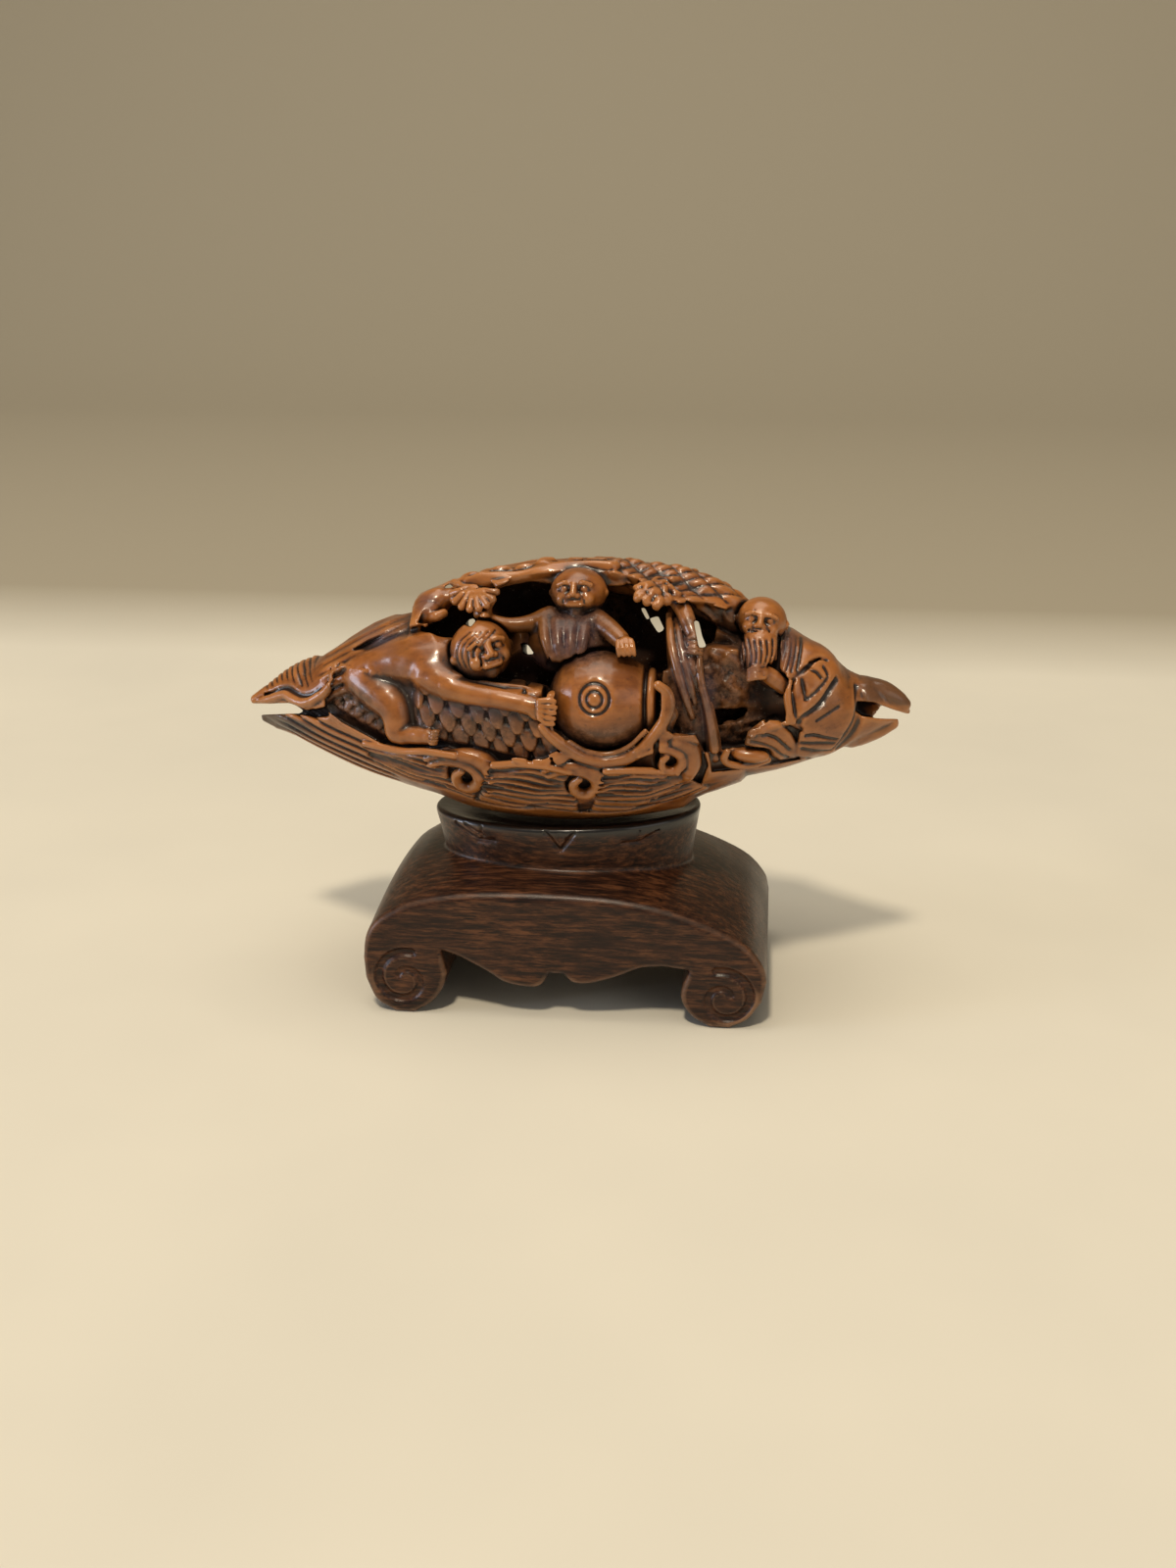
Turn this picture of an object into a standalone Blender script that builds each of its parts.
"""Carved olive pit on a carved hardwood stand.

Run with: blender --background --python part.py
Shapes are written in millimetres and placed in metres, +Z up, with the front towards -Y.
The pit is shaped in its own frame: x along its length, y to the back, z up, the origin at its middle.
"""
import math

import bmesh
import bpy
import numpy as np
from mathutils import Matrix, Vector

MM = 0.001

# ---- driving dimensions, mm -------------------------------------------------------------------
PIT_LENGTH = 45.4
PIT_DEPTH = 16.3
PIT_HEIGHT = 17.8
PIT_MIDDLE_HEIGHT = 20.85      # of the pit's middle above the floor
PIT_TILT = 1.6                 # degrees, the right end up
TIP_DROP = 1.4                 # how far the tips lie below the middle line
FULLNESS = 1.9                 # exponents of the spindle's outline
BLUNTNESS = 1.0

STAND_DEPTH = 16.4
TABLE_CROWN = 0.9              # how far the table's top rises from its front edge to the cup
CUP_CENTRE_X = -0.4
CUP_RIM_LENGTH = 18.7
CUP_RIM_DEPTH = 10.9
CUP_FLARE = 0.91               # size of the cup's foot against its rim
CUP_RIM_HEIGHT = 12.75
CUP_TILT = 2.0
CUP_FOOT_HEIGHT = 8.3
SEAT_GAP = 0.3                 # left between the pit and the cup

# how far the carving lies below the uncarved skin, as (x, drop)
TOP_DROP = [(-23, -0.1), (-19.2, -0.1), (-18.3, 0.5), (-13.5, 0.5), (-12.2, 0.7), (-11.2, 1.05),
            (-10.5, 1.35), (-10.2, 0.0), (14.2, 0.0), (14.6, 0.2), (17.0, 0.3), (18.4, 0.6),
            (19.2, 0.4), (19.8, 0.0), (23, 0.0)]
BOTTOM_DROP = [(-23, 0.0), (-15, 0.0), (-12, 0.25), (-9, 0.35), (-7, 0.0), (7.5, 0.0), (8.6, 0.6),
               (11.4, 0.75), (11.8, 1.05), (14.0, 0.65), (18.0, 0.2), (23, 0.0)]

# the front is laid out along lines from this point, which stands well in front of it
FRONT_POINT = (13.9, -107.4, 32.0)

# ---- how fine the solids are ------------------------------------------------------------------
CLAY_VOXEL = 0.26
PIT_TRIANGLES = 7400
BALL_SEGMENTS = 14
BALL_RINGS = 9
LIMB_SIDES = 12

HALF_LENGTH = PIT_LENGTH / 2
HALF_DEPTH = PIT_DEPTH / 2
HALF_HEIGHT = PIT_HEIGHT / 2


# ---- scene and helpers ------------------------------------------------------------------------
def start_scene():
    for obj in list(bpy.data.objects):
        bpy.data.objects.remove(obj, do_unlink=True)


def new_collection(name):
    group = bpy.data.collections.new(name)
    bpy.context.scene.collection.children.link(group)
    return group


def new_material(name, colour, roughness):
    material = bpy.data.materials.new(name)
    material.use_nodes = True
    shader = material.node_tree.nodes["Principled BSDF"]
    shader.inputs["Base Color"].default_value = (*colour, 1.0)
    shader.inputs["Roughness"].default_value = roughness
    shader.inputs["Metallic"].default_value = 0.0
    return material


def object_from(name, clay, group):
    mesh = bpy.data.meshes.new(name)
    clay.to_mesh(mesh)
    clay.free()
    obj = bpy.data.objects.new(name, mesh)
    group.objects.link(obj)
    return obj


def evaluated_mesh(obj):
    graph = bpy.context.evaluated_depsgraph_get()
    return bpy.data.meshes.new_from_object(obj.evaluated_get(graph), depsgraph=graph)


def boolean(obj, cutter, operation, solver="EXACT"):
    """Cut or join obj with cutter now, and remove the cutter."""
    step = obj.modifiers.new("cut", "BOOLEAN")
    step.operation = operation
    step.solver = solver
    step.object = cutter
    mesh = evaluated_mesh(obj)
    obj.modifiers.clear()
    obj.data = mesh
    bpy.data.objects.remove(cutter, do_unlink=True)


# ---- clay: balls and limbs pressed together ----------------------------------------------------
def press(clay, lump):
    """Add the lump to the clay, and free it."""
    mesh = bpy.data.meshes.new("lump")
    lump.to_mesh(mesh)
    lump.free()
    clay.from_mesh(mesh)
    bpy.data.meshes.remove(mesh)


def along(foot, tip):
    """The placement that lays a primitive's z axis from foot to tip."""
    run = tip - foot
    return Matrix.Translation((foot + tip) / 2) @ run.to_track_quat("Z", "Y").to_matrix().to_4x4()


def add_ball(clay, centre, radii, turn=(0, 0, 0)):
    """An ellipsoid; turn is in degrees about x, y and z."""
    place = Matrix.Translation(Vector(centre))
    for axis, angle in zip("ZYX", reversed(turn)):
        place = place @ Matrix.Rotation(math.radians(angle), 4, axis)
    place = place @ Matrix.Diagonal((*radii, 1.0))
    lump = bmesh.new()
    bmesh.ops.create_uvsphere(lump, u_segments=BALL_SEGMENTS, v_segments=BALL_RINGS,
                              radius=1.0, matrix=place)
    press(clay, lump)


def add_limb(clay, joints):
    """A chain of round bars; each joint is (x, y, z, radius)."""
    for x, y, z, radius in joints:
        add_ball(clay, (x, y, z), (radius,) * 3)
    for start, end in zip(joints, joints[1:]):
        foot, tip = Vector(start[:3]), Vector(end[:3])
        run = tip - foot
        if run.length < 1e-6:
            continue
        lump = bmesh.new()
        bmesh.ops.create_cone(lump, cap_ends=True, segments=LIMB_SIDES, radius1=start[3],
                              radius2=end[3], depth=run.length, matrix=along(foot, tip))
        press(clay, lump)


def smooth_path(points, steps=4):
    """A Catmull-Rom curve through points of any number of values."""
    first = tuple(2 * a - b for a, b in zip(points[0], points[1]))
    last = tuple(2 * a - b for a, b in zip(points[-1], points[-2]))
    held = [first, *points, last]
    path = []
    for p0, p1, p2, p3 in zip(held, held[1:], held[2:], held[3:]):
        for step in range(steps):
            t = step / steps
            path.append(tuple(
                0.5 * (2 * b + (c - a) * t + (2 * a - 5 * b + 4 * c - d) * t ** 2
                       + (3 * b - a - 3 * c + d) * t ** 3)
                for a, b, c, d in zip(p0, p1, p2, p3)))
    path.append(tuple(points[-1]))
    return path


# ---- the pit's uncarved body -------------------------------------------------------------------
def spindle_size(x):
    """How full the spindle is at x, from 0 at the tips to 1 in the middle."""
    along = min(abs(x) / HALF_LENGTH, 1.0)
    return (1 - along ** FULLNESS) ** BLUNTNESS


def spindle_middle(x):
    return -TIP_DROP * (x / HALF_LENGTH) ** 2


def on_spindle(x, angle, inward=0.0):
    """The point at x on the spindle; angle is 0 at the front and 90 on top."""
    size, turn = spindle_size(x), math.radians(angle)
    return (x, -(HALF_DEPTH * size - inward) * math.cos(turn),
            spindle_middle(x) + (HALF_HEIGHT * size - inward) * math.sin(turn))


def spindle_clay(grow=0.0, segments=48, rings=40):
    """The whole pit before carving, as a ball drawn out into a spindle, grown all round by grow."""
    clay = bmesh.new()
    on_side = Matrix.Rotation(math.radians(90), 4, "Y")
    bmesh.ops.create_uvsphere(clay, u_segments=segments, v_segments=rings, radius=1.0,
                              matrix=on_side)
    for vert in clay.verts:
        along = max(-1.0, min(1.0, vert.co.x))
        around = math.hypot(vert.co.y, vert.co.z)
        x = along * HALF_LENGTH
        size = spindle_size(x)
        if around < 1e-6:
            vert.co = (x + math.copysign(grow, x), 0.0, spindle_middle(x))
            continue
        vert.co = (x * (1 + grow / HALF_LENGTH),
                   vert.co.y / around * (HALF_DEPTH * size + grow),
                   vert.co.z / around * (HALF_HEIGHT * size + grow) + spindle_middle(x))
    return clay


def trimmed(x, z):
    """The height z of the spindle's skin at x, after its top and bottom are lowered."""
    height = z - spindle_middle(x)
    tall = max(HALF_HEIGHT * spindle_size(x), 0.3)
    drop = np.interp(x, *zip(*(TOP_DROP if height > 0 else BOTTOM_DROP)))
    return spindle_middle(x) + height * max(tall - drop, 0.3) / tall


def spindle_depth(x, y, z):
    """How far a point lies below the spindle's skin."""
    size = max(spindle_size(x), 1e-3)
    height = z - spindle_middle(x)
    share = math.hypot(y / (HALF_DEPTH * size), height / (HALF_HEIGHT * size))
    around = math.hypot(y, height)
    radius = around / max(share, 1e-4)
    slope = FULLNESS / HALF_LENGTH * (abs(x) / HALF_LENGTH) ** (FULLNESS - 1) * radius / size
    return min((radius - around) / math.sqrt(1 + slope * slope), HALF_LENGTH - abs(x))


def skin(x, z):
    """The y of the front skin at x and z."""
    size = spindle_size(x)
    share = min(abs(z - spindle_middle(x)) / max(HALF_HEIGHT * size, 0.05), 1.0)
    return -HALF_DEPTH * size * math.sqrt(1 - share * share)


def under(x, z, inset):
    """The point inset below the skin, on the line from the front point to (x, z) on the skin."""
    y = skin(x, z)
    reach = y - FRONT_POINT[1]
    best = None
    for step in range(190):
        travel = 0.05 * step - 1.5
        spot = (x + travel * (x - FRONT_POINT[0]) / reach, y + travel,
                z + travel * (z - FRONT_POINT[2]) / reach)
        depth = spindle_depth(*spot)
        if best is None or depth > best[0]:
            best = (depth, spot)
        if depth >= inset:
            break
    return best[1]


def deep_limb(clay, points, steps=3):
    """A smooth bar from (x, z, inset, radius) points, the inset to its middle."""
    add_limb(clay, [(*under(x, z, inset), radius) for x, z, inset, radius in smooth_path(points, steps)])


def skin_limb(clay, points, deep=0.0, steps=3):
    """A smooth bar just under the skin from (x, z, radius) points."""
    deep_limb(clay, [(x, z, radius + deep, radius) for x, z, radius in points], steps)


def skin_ball(clay, x, z, radii, deep=0.0, turn=(0, 0, 0)):
    add_ball(clay, under(x, z, radii[1] + deep), radii, turn)


def cone_cutter(outline, back, group):
    """A block between the lines from the front point through an outline on the skin."""
    clay = bmesh.new()
    rings = []
    for plane in (-10.0, back):
        ring = []
        for x, z in outline:
            share = (plane - FRONT_POINT[1]) / (skin(x, z) - FRONT_POINT[1])
            ring.append(clay.verts.new((FRONT_POINT[0] + (x - FRONT_POINT[0]) * share, plane,
                                        FRONT_POINT[2] + (z - FRONT_POINT[2]) * share)))
        rings.append(ring)
    clay.faces.new(rings[0])
    clay.faces.new(rings[1][::-1])
    for place, vert in enumerate(rings[0]):
        after = (place + 1) % len(outline)
        clay.faces.new((vert, rings[1][place], rings[1][after], rings[0][after]))
    bmesh.ops.recalc_face_normals(clay, faces=clay.faces)
    bmesh.ops.triangulate(clay, faces=clay.faces)
    return object_from("cutter", clay, group)


# outlines on the front, as (x, z)
WINDOW = [(-9.0, 5.3), (-8.6, 5.9), (-8.0, 6.3), (-7.4, 6.7), (-4.7, 6.8), (-4.35, 7.0), (-4.3, 7.8),
          (-3.4, 8.25), (-1.9, 8.5), (0.0, 8.7), (1.3, 8.8), (2.6, 8.7), (4.2, 8.3), (5.2, 7.95),
          (5.6, 7.3), (8.0, 6.9), (9.4, 6.5), (10.6, 6.1), (11.0, 5.4), (10.9, 4.2), (9.8, 3.4),
          (6.6, 3.3), (6.3, 2.0), (5.0, 1.0), (1.0, 1.0), (-0.3, 2.2), (-4.0, 2.7), (-6.0, 2.9),
          (-6.8, 4.0), (-7.2, 5.0), (-8.2, 5.15)]
BOY_GROUND = [(-16.3, 0.9), (-15.8, 2.3), (-14.4, 2.9), (-10, 2.6), (-6, 3.0), (-0.5, 2.6), (-0.2, -0.2),
              (0.5, -1.7), (-1.0, -2.7), (-4.5, -2.6), (-7.4, -1.8), (-9.5, -2.3), (-12.0, -2.2),
              (-15.0, -1.0), (-16.2, -0.3)]
JAR_GROUND = [(-0.7, 1.5), (-0.6, -0.4), (0.6, -1.7), (2.4, -2.4), (4.3, -2.1), (5.8, -0.8), (6.5, 0.9),
              (6.5, 2.4), (6.2, 3.6), (3.0, 4.0), (0.0, 3.5)]
MAN_GROUND = [(6.1, 4.5), (6.5, 2.4), (7.1, 1.0), (6.8, -0.4), (7.4, -0.9), (8.6, -0.9), (9.2, -2.2),
              (11.8, -2.1), (12.4, -1.0), (14.3, -0.6), (14.4, 1.2), (13.9, 2.2), (13.9, 4.2),
              (12.8, 5.9), (10.8, 6.2), (8.0, 4.5)]
WAVE_GROUND = [(-12.4, -2.6), (-9.5, -2.3), (-7.4, -1.8), (-4.5, -2.6), (-1.0, -2.7), (0.5, -2.0),
               (2.4, -3.0), (4.3, -2.8), (6.2, -1.6), (7.2, -1.0), (9.0, -1.6), (9.4, -3.2),
               (8.8, -5.0), (7.0, -6.3), (3.0, -6.9), (-1.0, -6.9), (-6.0, -6.1), (-9.5, -5.0),
               (-12.0, -4.2)]
CREVICE = [(-14.1, 3.6), (-13.2, 4.2), (-11.8, 4.75), (-10.2, 5.3), (-9.2, 5.6), (-8.8, 5.2),
           (-9.8, 4.9), (-11.6, 4.2), (-13.2, 3.7)]
HOLES = ([(-6.45, 5.85), (-5.8, 6.4), (-5.35, 6.15), (-5.8, 5.7)],
         [(-2.5, 5.1), (-1.8, 5.1), (-1.3, 4.3), (-2.3, 4.3)],
         [(5.0, 6.9), (5.6, 6.8), (6.7, 5.7), (6.2, 5.3)],
         [(8.2, 6.0), (8.9, 5.9), (9.4, 4.4), (8.7, 4.3)])
DRUM_HOLE = [(9.5, 0.6), (10.6, 0.75), (11.8, 0.55), (11.7, 0.0), (10.6, -0.35), (9.6, -0.3)]
RIGHT_SLOT = [(19.0, 0.05), (20.0, -0.1), (21.3, -0.65), (22.3, -1.35), (23.4, -2.1), (21.7, -1.75),
              (20.5, -1.4), (19.3, -1.05), (18.9, -0.6)]


def carve_openings(body, group):
    """The hollow with its front window, the lowered grounds, the slots and the holes."""
    for centre, radii, turn in (
            ((3.2, -0.9, 4.4), (6.6, 3.4, 3.2), (0, 0, 0)),           # behind the centre boy
            ((-6.4, -1.8, 4.4), (3.6, 2.6, 2.2), (0, 0, 0)),          # behind the left boy's head
            ((-20.6, 0.0, -1.25), (5.0, 9.0, 0.75), (0, 4, 0))):      # slot of the left beak
        clay = bmesh.new()
        add_ball(clay, centre, radii, turn)
        boolean(body, object_from("cutter", clay, group), "DIFFERENCE")
    for outline, deep in ((BOY_GROUND, 1.1), (JAR_GROUND, 2.3), (MAN_GROUND, 1.9), (WAVE_GROUND, 0.7),
                          (CREVICE, 0.9)):
        cutter = cone_cutter(outline, 1.0, group)
        boolean(cutter, object_from("kept", spindle_clay(-deep), group), "DIFFERENCE")
        boolean(body, cutter, "DIFFERENCE")
    for outline, back in ((WINDOW, -1.6), (DRUM_HOLE, -1.5), (RIGHT_SLOT, 0.6),
                          *((hole, 9.5) for hole in HOLES)):
        boolean(body, cone_cutter(outline, back, group), "DIFFERENCE")


# ---- what is carved out of the stone ------------------------------------------------------------
def add_left_boy(clay):
    """Bent over, facing right, one arm stretched to the jar."""
    add_ball(clay, under(-9.5, 2.6, 3.2), (3.8, 1.5, 1.9), (0, -8, 0))
    deep_limb(clay, [(-6.6, 2.6, 2.6, 1.1), (-4.5, 1.8, 2.2, 0.9), (-2.4, 1.5, 2.0, 0.7)])
    add_ball(clay, under(-5.0, 3.6, 3.4), (1.3, 1.4, 1.3))
    skin_limb(clay, [(-13.1, 2.35, 1.35), (-11.7, 2.95, 1.25), (-10.0, 3.35, 1.65), (-8.5, 3.45, 1.85)])
    skin_limb(clay, [(-8.3, 2.9, 1.3), (-7.1, 2.35, 1.0), (-6.1, 2.0, 0.74), (-4.1, 1.76, 0.66),
                     (-2.4, 1.5, 0.62), (-1.7, 1.35, 0.6)])
    skin_limb(clay, [(-13.05, 2.05, 1.4), (-11.9, 1.45, 1.4), (-11.0, 0.8, 1.25), (-10.75, -0.1, 1.02),
                     (-10.75, -0.95, 0.92), (-10.5, -1.2, 0.7)])
    skin_limb(clay, [(-10.4, -1.2, 0.62), (-9.5, -1.15, 0.62), (-8.4, -1.12, 0.58)], 0.05)
    add_ball(clay, under(-5.0, 4.5, 1.75), (2.0, 1.9, 1.98))
    skin_ball(clay, -1.25, 1.1, (0.62, 0.45, 0.72), 0.02, (0, 15, 0))
    for finger in range(4):
        height = 1.72 - 0.45 * finger
        skin_limb(clay, [(-1.1, height - 0.1, 0.22), (-0.2, height - 0.15, 0.22)], -0.1, 2)


def add_centre_boy(clay):
    """Behind the jar, bald, both arms out over it."""
    add_ball(clay, under(0.9, 5.0, 3.6), (2.2, 1.7, 1.9))
    deep_limb(clay, [(-1.0, 6.0, 3.4, 0.8), (0.8, 5.9, 3.4, 1.0), (2.4, 5.9, 3.4, 0.8)])
    deep_limb(clay, [(-0.6, 6.3, 2.6, 0.95), (-1.8, 6.1, 2.3, 0.62), (-3.1, 6.0, 2.0, 0.48),
                     (-4.4, 6.15, 1.5, 0.46), (-5.2, 6.5, 1.0, 0.5)])
    deep_limb(clay, [(2.2, 6.2, 2.5, 0.95), (3.1, 5.8, 2.0, 0.72), (3.9, 5.2, 1.5, 0.6)])
    add_ball(clay, under(4.25, 4.85, 1.15), (0.62, 0.55, 0.6))
    deep_limb(clay, [(1.0, 6.4, 2.6, 1.0), (1.1, 7.2, 2.0, 1.0)])
    add_ball(clay, under(1.1, 7.75, 1.25), (1.86, 1.75, 1.55))


def add_jar(clay):
    """A round jar lying with its mouth to the right."""
    profile = [(-2.5, 1.7), (-1.3, 2.9), (0.0, 3.2), (1.2, 3.08), (2.0, 2.8), (2.9, 2.3)]
    add_ball(clay, (2.0, -3.4, 0.0), (3.2, 2.0, 2.6))
    for (start, first), (end, last) in zip(profile, profile[1:]):
        foot, tip = Vector((2.25 + start, -4.75, 0.75)), Vector((2.25 + end, -4.75, 0.75))
        lump = bmesh.new()
        bmesh.ops.create_cone(lump, cap_ends=True, segments=24, radius1=first, radius2=last,
                              depth=end - start, matrix=along(foot, tip))
        press(clay, lump)
    lip = [(5.75, -4.75 + 1.8 * math.sin(t), 0.7 + 1.8 * math.cos(t), 0.4)
           for t in (math.tau * step / 16 for step in range(17))]
    add_limb(clay, lip)
    add_limb(clay, [(4.6, -4.75, 0.7, 1.9), (5.4, -4.75, 0.7, 1.5)])


def add_ribbon(clay):
    """The ribbon round the jar, and the wall below it."""
    skin_limb(clay, [(-0.5, -0.7, 0.6), (0.4, -1.5, 0.7), (1.6, -2.3, 0.7), (3.2, -2.7, 0.7),
                     (5.0, -2.1, 0.7), (6.3, -0.8, 0.6), (7.1, 0.6, 0.5)], 0.7)
    skin_limb(clay, [(-1.0, 0.0, 0.3), (-0.6, -0.5, 0.36), (0.3, -1.3, 0.4), (1.5, -2.1, 0.42),
                     (3.2, -2.45, 0.42), (4.9, -1.9, 0.42), (6.2, -0.5, 0.4), (7.0, 0.9, 0.38),
                     (6.9, 1.9, 0.36), (6.3, 2.45, 0.32)], -0.08)


def add_arm_and_staff(clay):
    """The arm that hangs from the branch, with a staff and a sleeve strand below it."""
    deep_limb(clay, [(7.4, 6.6, 2.0, 0.5), (7.6, 5.0, 2.2, 0.7), (8.0, 3.0, 2.6, 1.0),
                     (8.4, 1.0, 2.9, 1.3), (8.6, -0.5, 2.6, 1.3)])
    deep_limb(clay, [(6.95, 6.2, 1.2, 0.36), (7.3, 4.9, 0.9, 0.42), (7.9, 3.4, 0.7, 0.4),
                     (8.45, 1.7, 0.8, 0.36), (8.7, 0.6, 1.1, 0.34)])
    deep_limb(clay, [(7.1, 7.1, 0.8, 0.5), (7.7, 6.5, 0.75, 0.55), (8.1, 5.8, 0.75, 0.52),
                     (8.35, 5.3, 0.75, 0.5)])
    add_ball(clay, under(8.5, 4.75, 0.7), (0.6, 0.55, 0.7), (0, 12, 0))
    deep_limb(clay, [(9.4, 0.9, 1.3, 0.4), (9.7, -1.2, 1.2, 0.5), (9.8, -2.4, 0.9, 0.5)])
    deep_limb(clay, [(8.75, 4.2, 0.75, 0.34), (8.95, 2.6, 0.6, 0.34), (9.4, 1.0, 0.6, 0.34),
                     (9.65, -0.6, 0.6, 0.36), (9.8, -2.0, 0.6, 0.38)])


def add_old_man(clay):
    """Seated facing left, long beard, loose robe."""
    add_ball(clay, (15.0, -0.8, 0.6), (3.2, 3.0, 3.2), (0, 25, 0))
    deep_limb(clay, [(12.6, 4.0, 3.0, 1.3), (12.8, 2.0, 3.0, 1.3), (13.6, 0.6, 2.6, 1.1)])
    skin_limb(clay, [(14.9, 2.6, 1.6), (16.2, 1.3, 2.0), (16.9, -0.2, 2.0), (16.6, -1.7, 1.6)], 0.05)
    add_ball(clay, (12.7, -2.0, 5.2), (1.62, 1.6, 1.5), (0, 20, 0))
    deep_limb(clay, [(12.6, 4.5, 1.3, 1.15), (12.5, 3.6, 1.1, 0.95), (12.35, 2.9, 0.8, 0.6)])
    skin_limb(clay, [(16.7, 1.9, 0.85), (15.9, 1.1, 1.05), (15.1, 0.5, 0.8), (14.8, -0.2, 0.45)], -0.12)
    deep_limb(clay, [(14.15, 1.6, 0.75, 0.5), (13.4, 2.25, 0.6, 0.55), (12.6, 2.8, 0.6, 0.5)])
    deep_limb(clay, [(14.0, 1.6, 1.6, 0.6), (13.0, 2.4, 1.6, 0.6)])
    skin_limb(clay, [(12.6, -1.4, 0.7), (13.7, -1.9, 0.9), (14.6, -2.7, 0.8)], 0.1)
    skin_ball(clay, 12.05, -2.75, (1.28, 0.6, 0.5), -0.12, (0, 6, 0))


def add_branch(clay):
    """The lump, the blunt end, the arch with its two fans, and the post."""
    add_limb(clay, smooth_path([(-9.6, -0.9, 5.9, 0.85), (-8.9, -0.9, 6.35, 1.0), (-7.9, -1.4, 6.6, 0.95),
                                (-7.0, -1.8, 6.7, 0.8)], 3))
    add_ball(clay, under(-6.0, 7.25, 0.8), (1.6, 0.8, 0.75), (0, -4, 0))
    add_limb(clay, smooth_path([(-6.3, -1.3, 7.65, 0.45), (-5.2, -1.4, 7.85, 0.5), (-3.2, -1.4, 8.2, 0.5),
                                (-1.2, -1.2, 8.5, 0.5), (0.8, -1.0, 8.7, 0.5), (3.0, -1.0, 8.6, 0.55)], 3))
    deep_limb(clay, [(-4.75, 7.2, 0.9, 0.42), (-4.9, 6.5, 0.75, 0.4), (-5.0, 6.0, 0.8, 0.42)])
    add_limb(clay, smooth_path([(2.0, 0.3, 8.0, 1.15), (5.0, 0.2, 7.6, 1.35), (7.5, 0.0, 7.05, 1.5),
                                (9.6, -0.2, 6.25, 1.55), (11.0, -0.3, 5.35, 1.4)], 3))
    deep_limb(clay, [(4.6, 8.0, 0.7, 0.5), (6.0, 7.8, 0.8, 0.65), (7.6, 7.3, 0.8, 0.6),
                     (9.0, 6.9, 0.9, 0.6)])


def add_bark(clay):
    """Rows of scales behind the boy and the jar, and the drum behind the staff."""
    for row in range(3):
        for step in range(7):
            x = -8.2 + 1.15 * (step + 0.5 * (row % 2))
            skin_ball(clay, x, 0.6 - 0.85 * row - 0.15 * (x + 8), (0.5, 0.45, 0.5), 0.55)
        for step in range(3):
            x = -15.6 + 1.1 * (step + 0.5 * (row % 2))
            skin_ball(clay, x, 1.3 - 0.8 * row - 0.35 * (x + 15.6), (0.42, 0.4, 0.42), 0.6)
    axis = Vector((0.1, 0.25, 1.0)).normalized()
    for (start, first), (end, last) in (((-2.2, 1.9), (-1.4, 2.2)), ((-1.4, 2.2), (1.3, 2.15)),
                                        ((1.3, 2.15), (1.95, 1.6))):
        foot, tip = Vector((10.3, -2.0, 1.6)) + axis * start, Vector((10.3, -2.0, 1.6)) + axis * end
        lump = bmesh.new()
        bmesh.ops.create_cone(lump, cap_ends=True, segments=20, radius1=first, radius2=last,
                              depth=end - start, matrix=along(foot, tip))
        press(clay, lump)


def add_ends(clay):
    """The leaf-shaped shell with its rolled lip, its jaw, and the two parts of the right beak."""
    add_limb(clay, smooth_path([(-22.15, -0.1, -0.75, 0.5), (-20.8, -0.3, -0.1, 0.75),
                                (-19.4, -0.5, 0.4, 1.3), (-18.0, -0.6, 0.6, 1.8)], 3))
    add_limb(clay, [(-21.5, 0.0, -2.2, 0.45), (-19.8, 0.0, -2.45, 0.8), (-17.5, 0.0, -2.5, 1.3)])
    skin_limb(clay, [(-22.0, -0.95, 0.25), (-20.9, -0.62, 0.34), (-20.1, -0.3, 0.4), (-19.4, 0.0, 0.42),
                     (-18.8, -0.12, 0.42), (-17.9, -0.28, 0.44), (-17.1, 0.0, 0.44), (-16.5, 0.55, 0.4),
                     (-16.15, 1.3, 0.36), (-15.9, 1.9, 0.32)], -0.12)
    add_limb(clay, smooth_path([(18.8, 0.2, 0.1, 0.9), (20.4, 0.2, 0.0, 0.85), (21.6, 0.1, -0.4, 0.65),
                                (22.2, 0.0, -0.75, 0.5)], 3))
    add_limb(clay, smooth_path([(18.8, 0.0, -2.6, 1.3), (20.3, 0.0, -2.5, 0.8), (21.4, 0.0, -2.2, 0.45)], 3))


def add_wave(clay, points, curl):
    """One wave: a broad band that runs into a curl."""
    skin_limb(clay, points, -0.05)
    path = []
    for step in range(13):
        angle = math.radians(160 - 30 * step)
        reach = 0.9 * (1 - 0.045 * step)
        path.append((curl[0] + reach * math.cos(angle), curl[1] + reach * math.sin(angle), 0.42, 0.42))
    deep_limb(clay, path, 1)


def add_back_wave(clay, start_x, start_angle, end_x, end_angle):
    """A plainer wave on the back: a band and a round end."""
    path = []
    for step in range(6):
        part = step / 5
        x = start_x + (end_x - start_x) * part
        spot = on_spindle(x, start_angle + (end_angle - start_angle) * part, 0.7)
        path.append((x, -spot[1], spot[2], 0.9))
    add_limb(clay, path)
    spot = on_spindle(end_x + 1.2, end_angle + 3, 0.7)
    add_ball(clay, (end_x + 1.2, -spot[1], spot[2]), (1.1, 0.7, 1.1))


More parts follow.
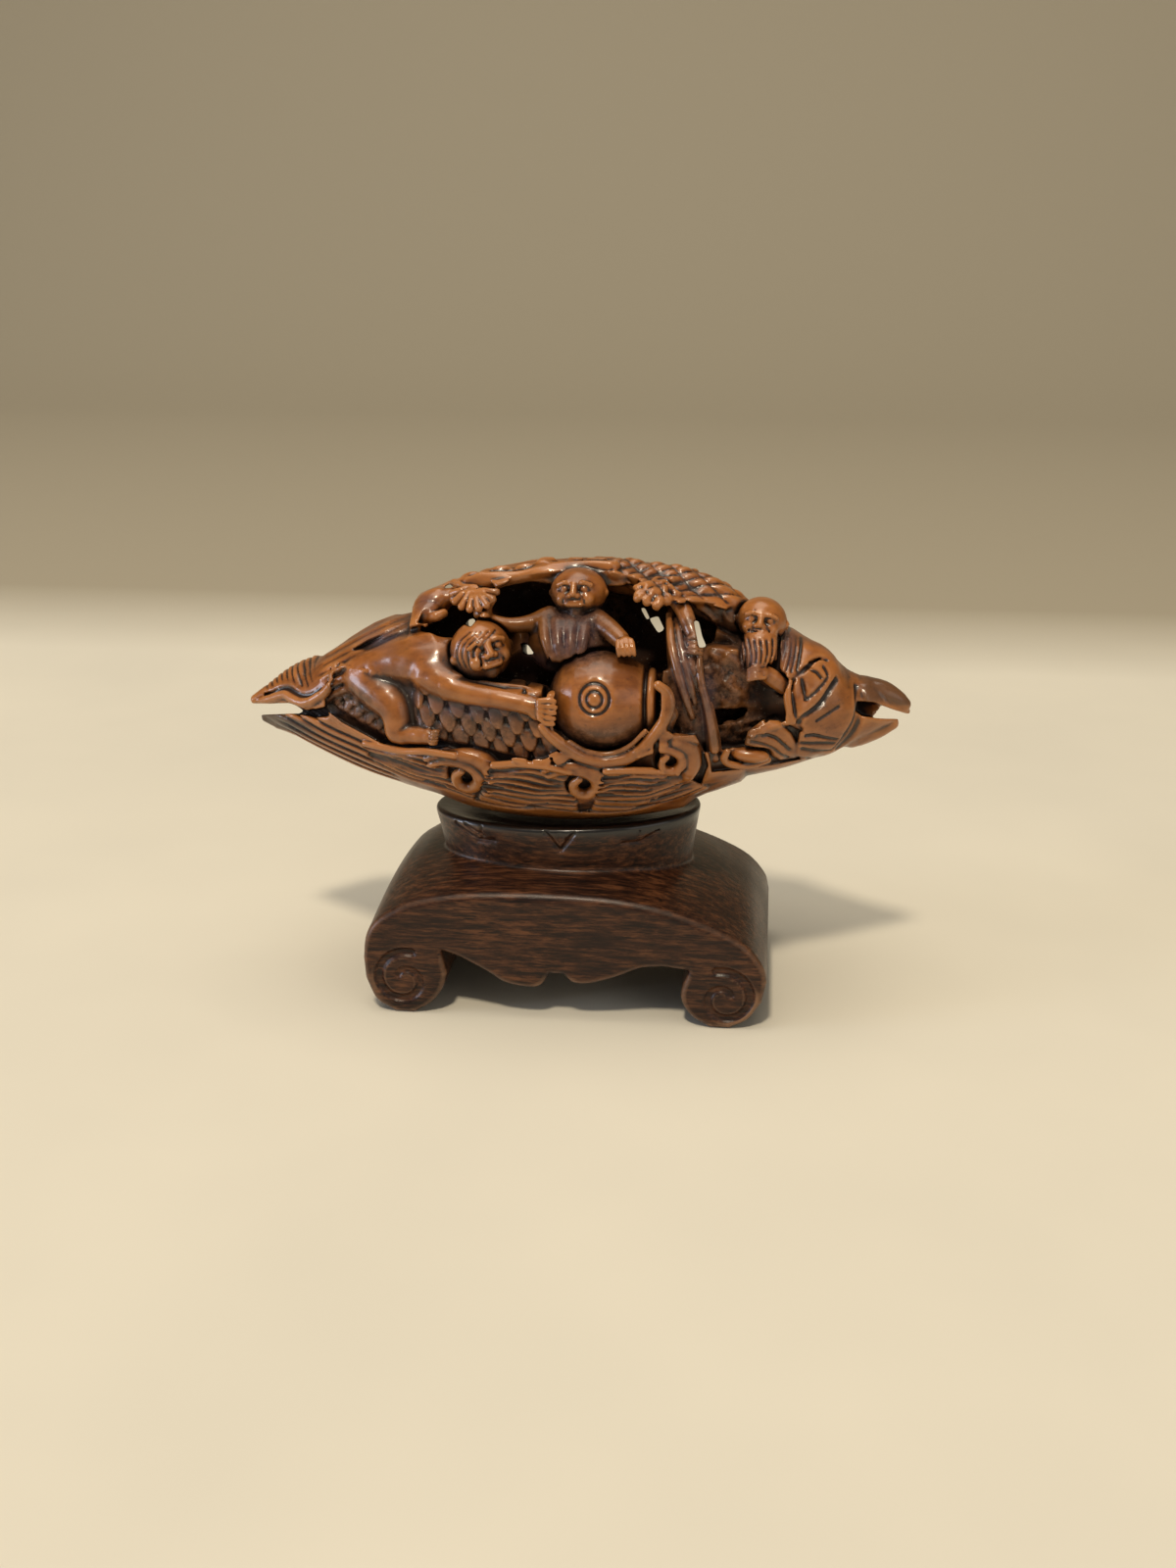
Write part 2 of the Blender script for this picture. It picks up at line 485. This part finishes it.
def add_waves(clay):
    """Three breaking waves along the front, and three on the back."""
    for points, curl in (
            ([(-12.6, -3.1, 0.6), (-10.6, -3.6, 1.0), (-9.0, -3.7, 1.3), (-7.6, -3.6, 1.3)], (-6.5, -3.7)),
            ([(-4.8, -3.7, 1.0), (-2.8, -4.2, 1.3), (-1.2, -4.5, 1.3), (0.2, -4.6, 1.0)], (1.4, -4.0)),
            ([(3.0, -4.4, 0.9), (4.4, -4.6, 1.2), (6.0, -4.7, 1.2), (7.4, -4.3, 0.8)], (7.0, -2.7))):
        add_wave(clay, points, curl)
    skin_limb(clay, [(-5.9, -2.4, 0.6), (-5.1, -2.6, 0.75), (-4.8, -3.3, 0.6)], -0.1)
    skin_limb(clay, [(7.8, -0.9, 0.7), (8.15, -1.9, 0.85), (8.1, -3.0, 0.75)], -0.1)
    for start_x, start_angle, end_x, end_angle in (
            (-11.0, -24, -6.0, -20), (-3.0, -26, 2.0, -22), (5.5, -26, 10.0, -20)):
        add_back_wave(clay, start_x, start_angle, end_x, end_angle)


def add_back(clay):
    """The plainer back: bars between the holes and bark bosses beside them."""
    for x, angle, size in ((-11.5, 165, 1.4), (0.8, 158, 1.7), (12.5, 168, 1.6)):
        add_ball(clay, on_spindle(x, angle, 0.7), (size * 1.4, 0.8, size))


# ---- from clay to one closed solid --------------------------------------------------------------
def keep_largest_island(mesh):
    clay = bmesh.new()
    clay.from_mesh(mesh)
    unseen = set(clay.verts)
    islands = []
    while unseen:
        stack = [unseen.pop()]
        island = set(stack)
        while stack:
            vert = stack.pop()
            for edge in vert.link_edges:
                other = edge.other_vert(vert)
                if other in unseen:
                    unseen.remove(other)
                    island.add(other)
                    stack.append(other)
        islands.append(island)
    biggest = max(islands, key=len)
    loose = [vert for vert in clay.verts if vert not in biggest]
    bmesh.ops.delete(clay, geom=loose, context="VERTS")
    clay.to_mesh(mesh)
    clay.free()


def one_body(obj, voxel, triangles):
    """Fuse obj's overlapping shapes into one skin of about the given number of triangles."""
    fuse = obj.modifiers.new("fuse", "REMESH")
    fuse.mode = "VOXEL"
    fuse.voxel_size = voxel
    fuse.adaptivity = 0.0
    mesh = evaluated_mesh(obj)
    obj.modifiers.clear()
    obj.data = mesh
    keep_largest_island(obj.data)
    faces = sum(len(face.vertices) - 2 for face in obj.data.polygons)
    thin = obj.modifiers.new("thin", "DECIMATE")
    thin.ratio = min(1.0, triangles / faces)
    mesh = evaluated_mesh(obj)
    obj.modifiers.clear()
    obj.data = mesh


def pit_place():
    return (Matrix.Translation((0, 0, PIT_MIDDLE_HEIGHT * MM))
            @ Matrix.Rotation(math.radians(-PIT_TILT), 4, "Y") @ Matrix.Scale(MM, 4))


def make_pit(group, cutters, material):
    stone = spindle_clay()
    for vert in stone.verts:
        vert.co.z = trimmed(vert.co.x, vert.co.z)
    body = object_from("carved_olive_pit", stone, group)
    carve_openings(body, cutters)
    clay = bmesh.new()
    clay.from_mesh(body.data)
    add_ends(clay)
    add_bark(clay)
    add_left_boy(clay)
    add_branch(clay)
    add_centre_boy(clay)
    add_jar(clay)
    add_ribbon(clay)
    add_arm_and_staff(clay)
    add_old_man(clay)
    add_waves(clay)
    add_back(clay)
    clay.to_mesh(body.data)
    clay.free()
    one_body(body, CLAY_VOXEL, PIT_TRIANGLES)
    body.data.transform(pit_place())
    body.data.materials.clear()
    body.data.materials.append(material)
    body.data.shade_smooth()
    return body


# ---- the stand ----------------------------------------------------------------------------------
TOP_LINE = [(-13.4, 3.9), (-13.2, 5.4), (-12.6, 6.5), (-11.4, 7.4), (-9.7, 8.2), (-6.0, 8.9),
            (-1.0, 9.1), (4.0, 8.9), (8.1, 8.0), (11.8, 6.4), (13.4, 4.8), (13.8, 3.5)]
RIGHT_FOOT = [(13.5, 2.0), (12.6, 0.7), (11.4, 0.0), (10.1, 0.0), (8.8, 0.8), (8.1, 2.2),
              (8.6, 4.1)]
RIGHT_EDGE = [(6.9, 4.3), (5.4, 4.1), (3.6, 3.3), (2.0, 2.8), (0.9, 2.8), (0.2, 3.4)]
LEFT_EDGE = [(-0.7, 3.4), (-1.3, 2.5), (-2.2, 2.3), (-3.8, 2.6), (-4.9, 3.3), (-6.8, 4.3),
             (-8.0, 4.7)]
LEFT_FOOT = [(-7.7, 3.0), (-8.0, 1.9), (-8.8, 0.8), (-10.0, 0.0), (-11.3, 0.0), (-12.6, 0.8),
             (-13.3, 2.4)]


def stand_outline():
    """The front outline of the table, smooth between its corners."""
    outer = smooth_path(TOP_LINE, 2) + RIGHT_FOOT
    under = smooth_path(RIGHT_EDGE, 2) + smooth_path(LEFT_EDGE, 2)
    return outer + under + LEFT_FOOT


def mesh_of_curve(name, curve, group):
    """Turn a curve into a mesh object with welded caps."""
    guide = bpy.data.objects.new(name, curve)
    group.objects.link(guide)
    bpy.context.view_layer.update()
    mesh = evaluated_mesh(guide)
    clay = bmesh.new()
    clay.from_mesh(mesh)
    bmesh.ops.remove_doubles(clay, verts=clay.verts, dist=0.0001)
    bmesh.ops.recalc_face_normals(clay, faces=clay.faces)
    bpy.data.objects.remove(guide, do_unlink=True)
    return object_from(name, clay, group)


def table(group):
    curve = bpy.data.curves.new("table", "CURVE")
    curve.dimensions = "2D"
    curve.fill_mode = "BOTH"
    curve.extrude = STAND_DEPTH / 2
    line = curve.splines.new("POLY")
    outline = stand_outline()
    line.points.add(len(outline) - 1)
    for point, (x, z) in zip(line.points, outline):
        point.co = (x, z, 0.0, 1.0)
    line.use_cyclic_u = True
    block = mesh_of_curve("stand", curve, group)
    block.data.transform(Matrix.Rotation(math.radians(90), 4, "X"))
    round_edges = block.modifiers.new("round edges", "BEVEL")
    round_edges.width = 0.3
    round_edges.segments = 2
    round_edges.limit_method = "ANGLE"
    round_edges.angle_limit = math.radians(60)
    mesh = evaluated_mesh(block)
    block.modifiers.clear()
    block.data = mesh
    crown(block)
    return block


def crown(block):
    """Raise the table's top towards the middle of its depth."""
    clay = bmesh.new()
    clay.from_mesh(block.data)
    strips = 4
    for strip in range(1, strips):
        y = STAND_DEPTH * (strip / strips - 0.5)
        bmesh.ops.bisect_plane(clay, geom=clay.verts[:] + clay.edges[:] + clay.faces[:],
                               plane_co=(0, y, 0), plane_no=(0, 1, 0))
    low, high = 4.0, 8.0
    for vert in clay.verts:
        share = min(max((vert.co.z - low) / (high - low), 0.0), 1.0)
        vert.co.z += share * TABLE_CROWN * (1 - (2 * vert.co.y / STAND_DEPTH) ** 2)
    clay.to_mesh(block.data)
    clay.free()


def cut_scroll(block, group, centre, side, facing):
    """The spiral groove of one foot; side is -1 on the left foot, facing is -1 on the front."""
    curve = bpy.data.curves.new("scroll", "CURVE")
    curve.dimensions = "3D"
    curve.bevel_depth = 0.4
    curve.bevel_resolution = 1
    curve.use_fill_caps = True
    line = curve.splines.new("POLY")
    steps = 15
    line.points.add(steps)
    for step in range(steps + 1):
        part = step / steps
        angle = math.radians(75 + 400 * part)
        reach = 2.1 * (1 - 0.72 * part)
        x = centre[0] - side * reach * math.cos(angle)
        y = facing * (STAND_DEPTH / 2 + 0.07)
        line.points[step].co = (x, y, centre[1] + reach * math.sin(angle), 1)
    boolean(block, mesh_of_curve("cutter", curve, group), "DIFFERENCE", "MANIFOLD")


def cup(group):
    clay = bmesh.new()
    foot, rim = CUP_FOOT_HEIGHT, CUP_RIM_HEIGHT
    place = (Matrix.Translation((CUP_CENTRE_X, 0, rim))
             @ Matrix.Rotation(math.radians(-CUP_TILT), 4, "Y")
             @ Matrix.Translation((0, 0, (foot - rim) / 2))
             @ Matrix.Diagonal((CUP_RIM_LENGTH / 2, CUP_RIM_DEPTH / 2, 1, 1)))
    bmesh.ops.create_cone(clay, cap_ends=True, segments=36, radius1=CUP_FLARE, radius2=1.0,
                          depth=rim - foot, matrix=place)
    obj = object_from("cup", clay, group)
    soften = obj.modifiers.new("soften the rim", "BEVEL")
    soften.width = 0.35
    soften.segments = 2
    soften.limit_method = "ANGLE"
    mesh = evaluated_mesh(obj)
    obj.modifiers.clear()
    obj.data = mesh
    return obj


def seat(group):
    """What is cut from the cup: the pit's form with a gap round it."""
    obj = object_from("cutter", spindle_clay(SEAT_GAP, 32, 20), group)
    obj.data.transform(Matrix.Scale(1 / MM, 4) @ pit_place())
    return obj


def make_stand(group, cutters, material):
    block = table(group)
    for facing in (-1, 1):
        cut_scroll(block, cutters, (-10.6, 2.5), -1, facing)
        cut_scroll(block, cutters, (11.0, 2.2), 1, facing)
    boolean(block, cup(cutters), "UNION")
    dish = bmesh.new()
    add_ball(dish, (CUP_CENTRE_X, 0, CUP_RIM_HEIGHT + 0.15), (8.8, 4.9, 0.6), (0, -CUP_TILT, 0))
    boolean(block, object_from("cutter", dish, cutters), "DIFFERENCE")
    boolean(block, seat(cutters), "DIFFERENCE")
    block.data.transform(Matrix.Scale(MM, 4))
    block.data.materials.clear()
    block.data.materials.append(material)
    block.data.set_sharp_from_angle(angle=math.radians(35))
    return block


def settle(parts):
    """Put the origin under the middle of the whole object's box."""
    corners = [vert.co for part in parts for vert in part.data.vertices]
    low = Vector([min(corner[axis] for corner in corners) for axis in range(3)])
    high = Vector([max(corner[axis] for corner in corners) for axis in range(3)])
    shift = Vector((-(low.x + high.x) / 2, -(low.y + high.y) / 2, -low.z))
    for part in parts:
        part.data.transform(Matrix.Translation(shift))


def main():
    start_scene()
    parts = new_collection("carved_olive_pit_on_stand")
    cutters = new_collection("cutters")
    olive = new_material("olive_stone", (0.36, 0.15, 0.045), 0.35)
    hardwood = new_material("dark_hardwood", (0.035, 0.016, 0.01), 0.3)
    pit = make_pit(parts, cutters, olive)
    stand = make_stand(parts, cutters, hardwood)
    settle([pit, stand])


main()
